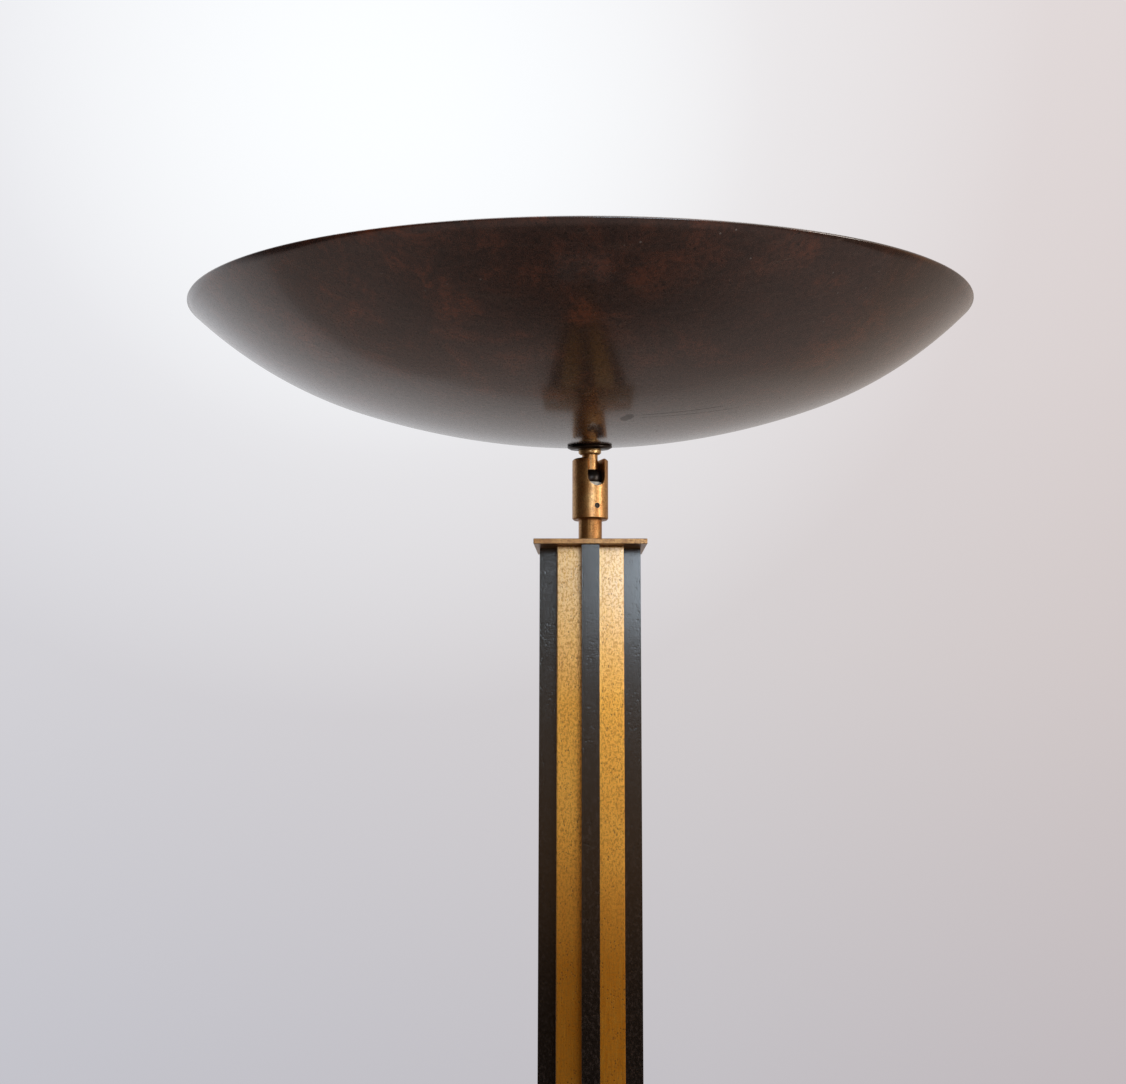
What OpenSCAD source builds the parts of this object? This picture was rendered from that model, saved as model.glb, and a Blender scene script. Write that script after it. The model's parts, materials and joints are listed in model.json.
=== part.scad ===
// Torchiere floor lamp: a shallow spun dish on a slotted ball knuckle, carried by a brass
// column with a dark bar on each face and a weighted square base.
// The origin is on the floor under the column's axis. +Z is up and the lamp's front faces -Y.

/* [Dish] */
// Diameter of the dish over its rim
dish_d = 480; // [440:5:520]
// Wall thickness of the spun dish
dish_wall = 1.5; // [1.2:0.1:2.0]
// Radius of the arc across the dish's bottom
bottom_arc_r = 475; // [465:1:490]
// Radius of the arc that rises to the rim
side_arc_r = 236.5; // [225:0.5:260]
// Distance from the dish's axis at which the two arcs meet
arc_join_r = 150; // [140:1:155]
// Lean of the dish towards the front as it stands
rest_lean = 6.3; // [0:0.1:8]
// Lean of the dish to its left as it stands
side_lean = 0.9; // [0:0.1:1]

/* [Column] */
// Height of the cap plate's top above the floor
column_top = 1700; // [1500:10:1800]
// Side of the square brass core tube
core_w = 41.5; // [38:0.5:44]
// Wall thickness of the core tube
core_wall = 1.5; // [1.2:0.1:2.0]
// Width of each dark bar
bar_w = 10.9; // [8:0.1:12]
// Depth of each dark bar, out from the core's face
bar_t = 11.3; // [10:0.1:12]
// Side of the square plates at the column's two ends
plate_w = 69.6; // [68:0.2:74]
// Thickness of those plates
plate_t = 3.2; // [3:0.1:4]

/* [Base] */
// Side of the square base
base_w = 300; // [280:5:340]
// Height of the base cover's top above the floor
base_h = 31; // [30:1:36]
// Thickness of the base cover's sheet
cover_wall = 2; // [1.5:0.1:2.5]
// Thickness of the felt underlay
felt_t = 3; // [2:0.5:3]
// Bore of the cord grommet
cord_d = 7; // [6:0.5:8]

/* [Knuckle] */
// Diameter of the swivel body
swivel_d = 23.1; // [22.6:0.1:24.4]
// Height of the swivel body
swivel_h = 39.3; // [38.5:0.1:41]
// Diameter of the stem under the swivel body
stem_d = 15; // [14:0.1:16]
// Height of the stem's visible part
stem_h = 15.3; // [12:0.1:18]
// Diameter of the ball
ball_d = 15.4; // [15.2:0.1:15.8]
// Width of the slot that the neck drops into
slot_w = 11.8; // [11.8:0.1:12.2]
// Direction of the slot, turned from the front towards +X
slot_azimuth = 23; // [0:1:30]
// Diameter of the neck tube
neck_d = 10.1; // [9.6:0.1:10.1]

/* [Lamp] */
// Distance between the two lampholders' contacts
lamp_l = 114; // [105:1:120]
// Diameter of the quartz tube
lamp_d = 11; // [10:0.5:12]

/* [Hidden] */
$fn = 64;
eps = 0.01;
cut = 1; // how far a cut runs past the face it opens
play = 0.05; // radial play of a turned fit
hole_play = 0.3; // radial play of a plain hole
gap = 0.3; // clearance between parts that move past each other

// base
cover_bottom = 1.2;
weight_play = 1;
weight_w = base_w - 2 * cover_wall - 2 * weight_play;
weight_z = felt_t;
weight_h = base_h - cover_wall - weight_z;
pocket_r = 24;
pocket_h = 15;
lead_slot_w = 16;
lead_slot_h = 12;
inlet_z = weight_z + lead_slot_h / 2;
grommet_flange_t = 2;
grommet_flange_r = cord_d / 2 + 3.5;
grommet_hole_r = cord_d / 2 + 2;
corner_r = 3;
terminal_size = [14, 22, 9];
terminal_y = 44;
terminal_wire_r = 1.4;
terminal_screw_r = 1.6;
earth_y = 78;
earth_washer_r = 4.6;
earth_washer_t = 0.8;
earth_head_r = 3.4;
earth_head_h = 2.2;

// tie rod, a threaded tube that clamps the base and the column together
rod_r = 5;
rod_bore_r = 3.25;
rod_bottom = weight_z + 2;
rod_top = column_top + stem_h - 2;
rod_nut_h = 6;
rod_nut_w = 17;
rod_washer_r = 15;
rod_washer_t = 2;
rod_washer_z = weight_z + pocket_h - rod_washer_t;
lead_inset = 1;
column_lead_r = 2.2;
neck_lead_r = 2;

// column
column_z = base_h + plate_t;
column_l = column_top - plate_t - column_z;
plug_h = 14;
bar_mid = core_w / 2 + bar_t / 2;
screw_r = 2;
screw_head_r = 3.8;
screw_head_h = 1.9;
screw_l = 14;
screw_slot_w = 0.8;
screw_slot_h = 0.9;

// knuckle
socket_r = ball_d / 2 + gap;
spigot_r = socket_r - play;
spigot_h = 14;
spigot_top = column_top + stem_h + spigot_h;
swivel_z = column_top + stem_h + gap;
swivel_top = swivel_z + swivel_h;
chamfer = 0.9;
stem_chamfer = 0.4;
pivot_z = swivel_top - 12.3;
grub_z = swivel_z + 8.2;
grub_r = 1.8;
grub_tip = spigot_r - 1;
grub_face = swivel_d / 2 - 0.6;
grub_slot_w = 0.6;
grub_slot_h = 0.7;
groove_h = 2 * grub_r + 1;
groove_r = grub_tip - 0.4;
seat_z = pivot_z - 11.2;
seat_top = pivot_z - 3;
spring_in_r = 4;
spring_t = 0.6;

// head, measured from the ball's centre along the neck
neck_z = 2;
neck_bore_r = 2.4;
collar_z = 15.4;
collar_h = 3.3;
collar_r = 7.3;
collar_chamfer = 0.5;
disc_z = collar_z + collar_h;
disc_r = 14.4;
disc_h = 2.4;
disc_rim_h = 1.3;
disc_bevel_w = 2.2;
dish_z = disc_z + disc_h;
dish_inner_z = dish_z + dish_wall;
inner_arc_r = bottom_arc_r - dish_wall;
inner_washer_r = 30;
inner_washer_t = 2;
inner_washer_z = dish_inner_z + inner_arc_r - sqrt(pow(inner_arc_r, 2) - pow(inner_washer_r, 2));
inner_nut_z = inner_washer_z + inner_washer_t;
inner_nut_h = 5;
inner_nut_w = 17;
neck_top = inner_nut_z + inner_nut_h + 2.5;

// dish profile: centres of the two arcs in the plane of the section
rim_r = dish_d / 2;
bottom_arc_z = bottom_arc_r;
arc_angle = asin(arc_join_r / bottom_arc_r);
side_arc_x = arc_join_r - side_arc_r * sin(arc_angle);
side_arc_z = bottom_arc_z - (bottom_arc_r - side_arc_r) * cos(arc_angle);
rim_z = side_arc_z - sqrt(pow(side_arc_r, 2) - pow(rim_r - side_arc_x, 2));
dish_hole_r = neck_d / 2 + hole_play;
dish_fn = 256;

// lampholder, standing on the inner washer
bracket_t = 1.5;
bracket_w = 22;
bracket_rise = 14;
bracket_half = lamp_l / 2 + 14;
bracket_z = inner_nut_z + inner_nut_h + bracket_rise;
foot_x = 14;
toe_x = inner_washer_r - 3;
foot_hole_x = 21;
foot_hole_r = 1.7;
foot_screw_r = 2.8;
foot_screw_h = 2;
lead_hole_r = 4;
socket_size = [12, 20, 24];
socket_recess = 6;
socket_recess_r = 4.2;
pin_l = 4;
pin_r = 2.5;
pin_out = 1;
quartz_half = lamp_l / 2 - 14;
quartz_wall = 1;
filament_r = 0.8;
lamp_rise = 15;
lamp_z = bracket_z + bracket_t + lamp_rise;
reflector_r = 34;
reflector_t = 0.8;
reflector_l = lamp_l - 22;
reflector_half_angle = 38;
head_terminal_size = [18, 14, 10];
head_terminal_y = bracket_w / 2 + 1.5;

// ---------- shared shapes ----------

module ring(h, r_out, r_in) {
    difference() {
        cylinder(h = h, r = r_out);
        translate([0, 0, -cut]) cylinder(h = h + 2 * cut, r = r_in);
    }
}

// A turned ring with both outer edges chamfered
module turned_ring(h, r_out, r_in, c) {
    rotate_extrude()
        polygon([[r_in, 0], [r_out - c, 0], [r_out, c], [r_out, h - c], [r_out - c, h], [r_in, h]]);
}

module hex_nut(h, across_flats, r_in) {
    difference() {
        cylinder(h = h, r = across_flats / sqrt(3), $fn = 6);
        translate([0, 0, -cut]) cylinder(h = h + 2 * cut, r = r_in);
    }
}

module square_block(w, h) {
    translate([-w / 2, -w / 2, 0]) cube([w, w, h]);
}

// A block with its four upright corners rounded
module rounded_block(w, h, r) {
    side = w - 2 * r;
    linear_extrude(h) {
        square([w, side], center = true);
        square([side, w], center = true);
        for (x = [-1, 1], y = [-1, 1]) translate([x * side / 2, y * side / 2]) circle(r);
    }
}

// The four places around the axis where a bar stands
module each_bar() {
    for (a = [0:90:270]) rotate([0, 0, a]) translate([0, -bar_mid, 0]) children();
}

module countersunk_screw() {
    difference() {
        union() {
            translate([0, 0, -screw_l]) cylinder(h = screw_l, r = screw_r - play);
            translate([0, 0, -screw_head_h]) cylinder(h = screw_head_h, r1 = screw_r, r2 = screw_head_r);
        }
        translate([-screw_head_r, -screw_slot_w / 2, -screw_slot_h])
            cube([2 * screw_head_r, screw_slot_w, screw_slot_h + cut]);
    }
}

module slotted_head(h, r) {
    difference() {
        cylinder(h = h, r = r);
        translate([-r, -screw_slot_w / 2, h - screw_slot_h]) cube([2 * r, screw_slot_w, screw_slot_h + cut]);
    }
}

// A two-way ceramic terminal block with its wire holes along Y and its screws on the given side
module terminal(size, side) {
    translate([-size[0] / 2, 0, 0]) difference() {
        cube(size);
        for (x = [0.25, 0.75]) {
            translate([x * size[0], -cut, size[2] / 2]) rotate([-90, 0, 0])
                cylinder(h = size[1] + 2 * cut, r = terminal_wire_r);
            for (y = [0.25, 0.75]) translate([x * size[0], y * size[1], (1 + side) / 2 * size[2]])
                cylinder(h = size[2] - 1, r = terminal_screw_r, center = true);
        }
    }
}

// Places a shape on the neck's axis, with the ball's centre as its origin
module on_neck() {
    translate([0, 0, pivot_z]) rotate([rest_lean, -side_lean, 0]) children();
}

// Places a shape that lies along +X so that it points the way the slot does
module toward_slot(z) {
    translate([0, 0, z]) rotate([0, 0, slot_azimuth - 90]) children();
}

// ---------- base ----------

module base_underlay() {
    color("dimgray") rounded_block(weight_w, felt_t, corner_r);
}

module base_weight() {
    color("gray") translate([0, 0, weight_z]) difference() {
        rounded_block(weight_w, weight_h, corner_r);
        translate([0, 0, -cut]) {
            cylinder(h = weight_h + 2 * cut, r = rod_r + hole_play);
            cylinder(h = pocket_h + cut, r = pocket_r);
            translate([-lead_slot_w / 2, 0, 0]) cube([lead_slot_w, weight_w, lead_slot_h + cut]);
        }
    }
}

module base_cover() {
    color([0.22, 0.18, 0.15]) difference() {
        translate([0, 0, cover_bottom]) rounded_block(base_w, base_h - cover_bottom, corner_r + 1);
        translate([0, 0, -cut])
            rounded_block(base_w - 2 * cover_wall, base_h - cover_wall + cut, corner_r);
        cylinder(h = base_h + cut, r = rod_r + hole_play);
        translate([0, base_w / 2 + cut, inlet_z]) rotate([90, 0, 0])
            cylinder(h = cover_wall + 2 * cut, r = grommet_hole_r);
    }
}

module cord_grommet() {
    color([0.08, 0.08, 0.08]) translate([0, base_w / 2 - cover_wall, inlet_z]) rotate([-90, 0, 0])
        difference() {
            union() {
                translate([0, 0, cover_wall])
                    turned_ring(grommet_flange_t, grommet_flange_r, cord_d / 2, grommet_flange_t / 4);
                translate([0, 0, -grommet_flange_t])
                    cylinder(h = grommet_flange_t + cover_wall + eps, r = grommet_hole_r - play);
            }
            translate([0, 0, -grommet_flange_t - cut])
                cylinder(h = cover_wall + 2 * grommet_flange_t + 2 * cut, r = cord_d / 2);
        }
}

module base_terminal() {
    color("ivory") translate([0, terminal_y, weight_z + lead_slot_h - terminal_size[2]])
        terminal(terminal_size, -1);
}

module earth_screw() {
    color("goldenrod") translate([0, earth_y, weight_z + lead_slot_h]) mirror([0, 0, 1]) {
        cylinder(h = earth_washer_t, r = earth_washer_r);
        translate([0, 0, earth_washer_t]) slotted_head(earth_head_h, earth_head_r);
    }
}

module rod_washer() {
    color("silver") translate([0, 0, rod_washer_z]) ring(rod_washer_t, rod_washer_r, rod_r + hole_play);
}

module rod_nut() {
    color("silver") translate([0, 0, rod_washer_z - rod_nut_h]) hex_nut(rod_nut_h, rod_nut_w, rod_r + play);
}

module tie_rod() {
    color("lightgray") translate([0, 0, rod_bottom]) ring(rod_top - rod_bottom, rod_r, rod_bore_r);
}

module column_lead() {
    color("white") translate([0, 0, rod_bottom + lead_inset])
        cylinder(h = spigot_top - rod_bottom - 2 * lead_inset, r = column_lead_r);
}

// ---------- column ----------

module end_plate() {
    difference() {
        square_block(plate_w, plate_t);
        translate([0, 0, -cut]) cylinder(h = plate_t + 2 * cut, r = rod_r + hole_play);
        each_bar() {
            translate([0, 0, -cut]) cylinder(h = plate_t + 2 * cut, r = screw_r + 2 * play);
            translate([0, 0, plate_t - screw_head_h])
                cylinder(h = screw_head_h + eps, r1 = screw_r + 2 * play, r2 = screw_head_r + 2 * play);
        }
    }
}

module foot_plate() {
    color("goldenrod") translate([0, 0, base_h + plate_t]) mirror([0, 0, 1]) end_plate();
}

module foot_screws() {
    color("silver") translate([0, 0, base_h]) mirror([0, 0, 1]) each_bar() countersunk_screw();
}

module core_tube() {
    color("gold") translate([0, 0, column_z]) difference() {
        square_block(core_w, column_l);
        translate([0, 0, -cut]) square_block(core_w - 2 * core_wall, column_l + 2 * cut);
    }
}

// A dark bar, tapped at both ends for the plate screws
module bar(angle) {
    color([0.28, 0.28, 0.29]) rotate([0, 0, angle]) translate([0, -bar_mid, column_z]) difference() {
        translate([-bar_w / 2, -bar_t / 2, 0]) cube([bar_w, bar_t, column_l]);
        for (z = [-cut, column_l - screw_l]) translate([0, 0, z]) cylinder(h = screw_l + cut, r = screw_r);
    }
}

// A square block that centres the tube's end on the tie rod
module tube_plug() {
    difference() {
        square_block(core_w - 2 * core_wall - 2 * play, plug_h);
        translate([0, 0, -cut]) cylinder(h = plug_h + 2 * cut, r = rod_r + hole_play);
    }
}

module lower_plug() {
    color("gray") translate([0, 0, column_z]) tube_plug();
}

module upper_plug() {
    color("gray") translate([0, 0, column_top - plate_t - plug_h]) tube_plug();
}

module cap_plate() {
    color("goldenrod") translate([0, 0, column_top - plate_t]) end_plate();
}

module cap_screws() {
    color("silver") translate([0, 0, column_top]) each_bar() countersunk_screw();
}

// ---------- knuckle ----------

// The stem is screwed onto the tie rod; its spigot carries the swivel body
module stem() {
    color("goldenrod") translate([0, 0, column_top]) difference() {
        union() {
            turned_ring(stem_h, stem_d / 2, 1, stem_chamfer);
            translate([0, 0, stem_h - stem_chamfer]) cylinder(h = stem_chamfer + eps, r = stem_d / 2);
            translate([0, 0, stem_h]) cylinder(h = spigot_h, r = spigot_r);
        }
        translate([0, 0, -cut]) {
            cylinder(h = stem_h, r = rod_r + play);
            cylinder(h = stem_h + spigot_h + 2 * cut, r = rod_bore_r);
        }
        translate([0, 0, grub_z - column_top - groove_h / 2]) ring(groove_h, swivel_d / 2, groove_r);
    }
}

module swivel_body() {
    color("goldenrod") difference() {
        translate([0, 0, swivel_z]) turned_ring(swivel_h, swivel_d / 2, 1, chamfer);
        translate([0, 0, swivel_z - cut]) cylinder(h = pivot_z - swivel_z + cut, r = socket_r);
        translate([0, 0, pivot_z]) {
            sphere(r = socket_r);
            cylinder(h = swivel_h, r = slot_w / 2);
        }
        toward_slot(pivot_z) {
            rotate([0, 90, 0]) cylinder(h = swivel_d, r = slot_w / 2);
            translate([0, -slot_w / 2, 0]) cube([swivel_d, slot_w, swivel_h]);
        }
        toward_slot(grub_z) rotate([0, 90, 0]) cylinder(h = swivel_d, r = grub_r);
    }
}

module grub_screw() {
    color("dimgray") toward_slot(grub_z) difference() {
        translate([grub_tip, 0, 0]) rotate([0, 90, 0]) cylinder(h = grub_face - grub_tip, r = grub_r - play);
        translate([grub_face - grub_slot_h, -grub_r, -grub_slot_w / 2])
            cube([grub_slot_h + cut, 2 * grub_r, grub_slot_w]);
    }
}

// A conical spring washer that presses the seat up against the ball
module spring_washer() {
    rise = seat_z - spigot_top - gap - spring_t;
    color("silver") translate([0, 0, spigot_top + gap]) rotate_extrude()
        polygon([[spring_in_r, rise], [spigot_r, 0], [spigot_r, spring_t], [spring_in_r, rise + spring_t]]);
}

module ball_seat() {
    color("ivory") difference() {
        translate([0, 0, seat_z]) cylinder(h = seat_top - seat_z, r = spigot_r);
        translate([0, 0, pivot_z]) sphere(r = socket_r);
        translate([0, 0, seat_z - cut]) cylinder(h = seat_top - seat_z + 2 * cut, r = rod_bore_r);
    }
}

// ---------- head ----------

module swivel_ball() {
    color([0.06, 0.06, 0.06]) on_neck() difference() {
        sphere(d = ball_d);
        translate([0, 0, neck_z]) cylinder(h = ball_d, r = neck_d / 2);
        translate([0, 0, -ball_d]) cylinder(h = 2 * ball_d, r = neck_bore_r);
    }
}

module neck_tube() {
    color("goldenrod") on_neck() translate([0, 0, neck_z]) ring(neck_top - neck_z, neck_d / 2, neck_bore_r);
}

module neck_lead() {
    color("white") on_neck() translate([0, 0, -lead_inset])
        cylinder(h = neck_top + 2 * lead_inset, r = neck_lead_r);
}

module neck_nut() {
    color("goldenrod") on_neck() translate([0, 0, collar_z])
        turned_ring(collar_h, collar_r, neck_d / 2 + play, collar_chamfer);
}

module dish_washer() {
    r_in = neck_d / 2 + hole_play;
    color([0.1, 0.09, 0.09]) on_neck() translate([0, 0, disc_z]) rotate_extrude()
        polygon([[r_in, 0], [disc_r - disc_bevel_w, 0], [disc_r, disc_h - disc_rim_h], [disc_r, disc_h],
            [r_in, disc_h]]);
}

// Region of the section inside the two arcs, with both arcs moved in by the given amount
module bowl_section(inset) {
    intersection() {
        translate([0, bottom_arc_z]) circle(r = bottom_arc_r - inset, $fn = 4 * dish_fn);
        square([arc_join_r * (bottom_arc_r - inset) / bottom_arc_r, rim_z]);
    }
    intersection() {
        translate([side_arc_x, side_arc_z]) circle(r = side_arc_r - inset, $fn = 2 * dish_fn);
        square([rim_r + cut, rim_z]);
    }
}

module dish() {
    color([0.26, 0.2, 0.17]) on_neck() translate([0, 0, dish_z])
        rotate_extrude($fn = dish_fn) difference() {
            bowl_section(0);
            translate([0, eps]) bowl_section(dish_wall);
            translate([0, -cut]) square([dish_hole_r, dish_wall + 2 * cut]);
        }
}

module inner_washer() {
    color("silver") on_neck() translate([0, 0, inner_washer_z])
        ring(inner_washer_t, inner_washer_r, neck_d / 2 + hole_play);
}

module inner_nut() {
    color("silver") on_neck() translate([0, 0, inner_nut_z])
        hex_nut(inner_nut_h, inner_nut_w, neck_d / 2 + play);
}

// Folded strip: two feet on the washer, two risers, and a long top that carries the sockets
module lamp_bracket() {
    z0 = inner_nut_z;
    color("lightgray") on_neck() difference() {
        rotate([90, 0, 0]) linear_extrude(bracket_w, center = true) polygon([
            [foot_x, z0], [toe_x, z0], [toe_x, z0 + bracket_t],
            [foot_x + bracket_t, z0 + bracket_t], [foot_x + bracket_t, bracket_z],
            [bracket_half, bracket_z], [bracket_half, bracket_z + bracket_t],
            [-bracket_half, bracket_z + bracket_t], [-bracket_half, bracket_z],
            [-foot_x - bracket_t, bracket_z], [-foot_x - bracket_t, z0 + bracket_t],
            [-toe_x, z0 + bracket_t], [-toe_x, z0], [-foot_x, z0],
            [-foot_x, bracket_z], [foot_x, bracket_z]
        ]);
        for (x = [-1, 1]) translate([x * foot_hole_x, 0, z0 - cut])
            cylinder(h = bracket_t + 2 * cut, r = foot_hole_r);
        translate([0, 0, bracket_z - cut]) cylinder(h = bracket_t + 2 * cut, r = lead_hole_r);
    }
}

module bracket_screws() {
    color("silver") on_neck() for (x = [-1, 1]) translate([x * foot_hole_x, 0, inner_nut_z]) {
        translate([0, 0, bracket_t]) slotted_head(foot_screw_h, foot_screw_r);
        cylinder(h = bracket_t + eps, r = foot_hole_r - 2 * play);
    }
}

// A trough of polished sheet under the quartz tube
module reflector() {
    reach = 2 * reflector_r;
    rise = reach * tan(reflector_half_angle);
    color("whitesmoke") on_neck() translate([0, 0, bracket_z + bracket_t + reflector_r])
        rotate([0, 90, 0]) linear_extrude(reflector_l, center = true) intersection() {
            difference() {
                circle(r = reflector_r);
                circle(r = reflector_r - reflector_t);
            }
            polygon([[0, 0], [reach, -rise], [reach, rise]]);
        }
}

// A ceramic block with a recess for the lamp's end and a deeper bore for the contact pin
module socket(side) {
    color("ivory") on_neck() translate([side * lamp_l / 2, 0, lamp_z]) rotate([0, 0, 90 - side * 90])
        difference() {
            translate([0, -socket_size[1] / 2, -lamp_rise]) cube(socket_size);
            translate([-cut, 0, 0]) rotate([0, 90, 0])
                cylinder(h = socket_recess + cut, r = socket_recess_r);
            rotate([0, 90, 0]) cylinder(h = socket_recess + pin_l - pin_out, r = pin_r + play);
        }
}

module socket_left() {
    socket(-1);
}

module socket_right() {
    socket(1);
}

module contact_pins() {
    color("gold") on_neck() for (side = [-1, 1])
        translate([side * (lamp_l / 2 + socket_recess - pin_out), 0, lamp_z]) rotate([0, side * 90, 0])
            cylinder(h = pin_l, r = pin_r);
}

module quartz_tube() {
    color("white", 0.4) on_neck() translate([-quartz_half, 0, lamp_z]) rotate([0, 90, 0]) difference() {
        cylinder(h = 2 * quartz_half, r = lamp_d / 2);
        translate([0, 0, quartz_wall])
            cylinder(h = 2 * quartz_half - 2 * quartz_wall, r = lamp_d / 2 - quartz_wall);
    }
}

module tube_ends() {
    press_l = 9;
    press_r = 3;
    cap_l = 9.5;
    cap_r = 3.6;
    color("ivory") on_neck() for (side = [-1, 1]) translate([side * quartz_half, 0, lamp_z])
        rotate([0, side * 90, 0]) {
            cylinder(h = press_l + eps, r = press_r);
            translate([0, 0, press_l]) cylinder(h = cap_l, r = cap_r);
        }
}

module filament() {
    color("orange") on_neck() translate([0, 0, lamp_z]) rotate([0, 90, 0])
        cylinder(h = 2 * quartz_half - 4 * quartz_wall, r = filament_r, center = true);
}

module head_terminal() {
    color("ivory") on_neck() translate([0, head_terminal_y, inner_nut_z]) terminal(head_terminal_size, 1);
}

// ---------- assembly ----------

base_underlay();
base_weight();
base_cover();
cord_grommet();
base_terminal();
earth_screw();
rod_washer();
rod_nut();
tie_rod();
column_lead();
foot_plate();
foot_screws();
lower_plug();
core_tube();
bar(0);  // bar_front
bar(90);  // bar_right
bar(180);  // bar_back
bar(270);  // bar_left
upper_plug();
cap_plate();
cap_screws();
stem();
swivel_body();
grub_screw();
spring_washer();
ball_seat();
swivel_ball();
neck_tube();
neck_lead();
neck_nut();
dish_washer();
dish();
inner_washer();
inner_nut();
lamp_bracket();
bracket_screws();
reflector();
socket_left();
socket_right();
contact_pins();
quartz_tube();
tube_ends();
filament();
head_terminal();
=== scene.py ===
"""Torchiere floor lamp: materials, fine meshes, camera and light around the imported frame."""

import json
import math

import bmesh
import bpy
from mathutils import Matrix, Vector


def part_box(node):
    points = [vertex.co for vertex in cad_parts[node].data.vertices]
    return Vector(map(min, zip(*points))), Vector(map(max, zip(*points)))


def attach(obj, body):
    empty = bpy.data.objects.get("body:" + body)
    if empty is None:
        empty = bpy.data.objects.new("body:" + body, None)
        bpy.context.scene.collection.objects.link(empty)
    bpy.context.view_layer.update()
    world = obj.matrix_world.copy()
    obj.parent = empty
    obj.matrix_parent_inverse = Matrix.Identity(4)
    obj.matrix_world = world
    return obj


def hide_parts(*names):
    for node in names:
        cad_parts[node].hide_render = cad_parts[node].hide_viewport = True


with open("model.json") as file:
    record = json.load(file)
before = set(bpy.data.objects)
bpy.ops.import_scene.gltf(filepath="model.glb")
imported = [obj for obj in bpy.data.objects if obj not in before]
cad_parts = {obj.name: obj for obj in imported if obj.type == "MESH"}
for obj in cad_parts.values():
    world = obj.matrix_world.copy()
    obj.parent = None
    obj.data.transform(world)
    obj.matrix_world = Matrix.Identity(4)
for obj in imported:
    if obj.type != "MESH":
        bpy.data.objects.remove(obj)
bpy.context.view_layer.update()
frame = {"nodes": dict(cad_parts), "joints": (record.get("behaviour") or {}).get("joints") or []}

MM = 0.001

# The knuckle: the ball's centre, and the neck's lean to the front and to the left at rest
PIVOT = Vector(next(joint for joint in frame["joints"] if joint["name"] == "head_tilt")["pos_m"])
LEAN = Matrix.Rotation(math.radians(-0.9), 4, "Y") @ Matrix.Rotation(math.radians(6.3), 4, "X")
NECK_AXIS = Matrix.Translation(PIVOT) @ LEAN

# The collar, the disc and the dish, one on the other along the neck, from the ball's centre up
COLLAR_Z = 15.4 * MM
COLLAR_HEIGHT = 3.3 * MM
COLLAR_R = 7.28 * MM
COLLAR_HOLE_R = 5.1 * MM
DISC_Z = COLLAR_Z + COLLAR_HEIGHT
DISC_HEIGHT = 2.4 * MM
DISC_R = 14.38 * MM
DISH_Z = DISC_Z + DISC_HEIGHT

# The dish: a flat arc, then a tighter one from ARC_JOIN_R out, and a rolled rim
DISH_R = 240 * MM
DISH_WALL = 1.5 * MM
DISH_HOLE_R = 5.35 * MM
BOTTOM_ARC_R = 475 * MM
SIDE_ARC_R = 236.5 * MM
ARC_JOIN_R = 150 * MM
RIM_INSET = 1.1 * MM
RIM_WIDTH = 1.125 * DISH_WALL

# How finely the turned meshes are cut: round the axis, along the dish's faces, round its rim, in a corner
DISH_SEGMENTS = 256
DISH_STEPS = 72
RIM_STEPS = 6
RING_SEGMENTS = 128
CORNER_STEPS = 3

# The lamp's coiled wire
WIRE_R = 0.12 * MM
COIL_R = 0.66 * MM
COIL_TURNS = 46
POINTS_PER_TURN = 10

# Edge rounding on CAD nodes: points closer than this are joined, and edges sharper than this are rounded
WELD_GAP = 0.002 * MM
SHARP_DEGREES = 30

# Heights between which the column's brass turns from an amber of painted shade, darker towards the bottom,
# to gold, and from gold to a paler painted highlight at its top
SHADED_AMBER_TO_GOLD_Z = (1.445, 1.51)
GOLD_TO_HIGHLIGHT_Z = (1.6, 1.67)

# Scuffs on the dish's underside: place, half size, and turn about its axis
SCUFFS = (
    ((0.021, -0.088), (0.0035, 0.007), 0.3),
    ((0.05, -0.09), (0.03, 0.0007), 0.04),
    ((0.06, -0.083), (0.035, 0.0006), 0.1),
    ((0.205, -0.045), (0.012, 0.0007), -0.5),
)

DISH_AXIS = NECK_AXIS @ Matrix.Translation((0, 0, DISH_Z))

# The camera: at eye level, close to the lamp and looking slightly up. Its frame is cropped on the right.
LENS = 35.17
SENSOR = 36
SHIFT_X = -0.0746
CAMERA_AT = (-0.0043, -0.7032, 1.626)
CAMERA_YAW, CAMERA_PITCH, CAMERA_ROLL = -3.32, 6.12, -0.35

# The brightest place of the backdrop, the painted pool of the lamp's uplight on the wall, as a direction
UPLIGHT_POOL_TOWARDS = (-0.16, 0.87, 0.47)

# The floor, the radii between which it fades into the backdrop, and those between which the painted
# reflection of a dark, warm floor, in painted shade near the lamp, grows lighter
FLOOR_R = 3.0
FLOOR_SEGMENTS = 96
FLOOR_FADE = (1.5, 2.9)
REFLECTED_FLOOR_SHADE_R = (0.2, 1.4)

# The lights: name, place, the point that each faces, width and height, watts and colour
LIGHTS = (
    ("window", (0.65, -2.65, 2.21), (0.65, 0, 2.21), (1.14, 0.96), 25, (0.74, 0.87, 1.0)),
    ("soft_right", (2.4, -1.2, 2.0), (0, 0, 1.7), (0.8, 1.0), 22, (1.0, 0.93, 0.85)),
    ("ceiling", (0, 0, 4.2), (0, 0, 0), (3, 3), 60, (1, 1, 1)),
)

BARS = ("bar_front", "bar_right", "bar_back", "bar_left")


# ---------- node helpers ----------


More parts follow.
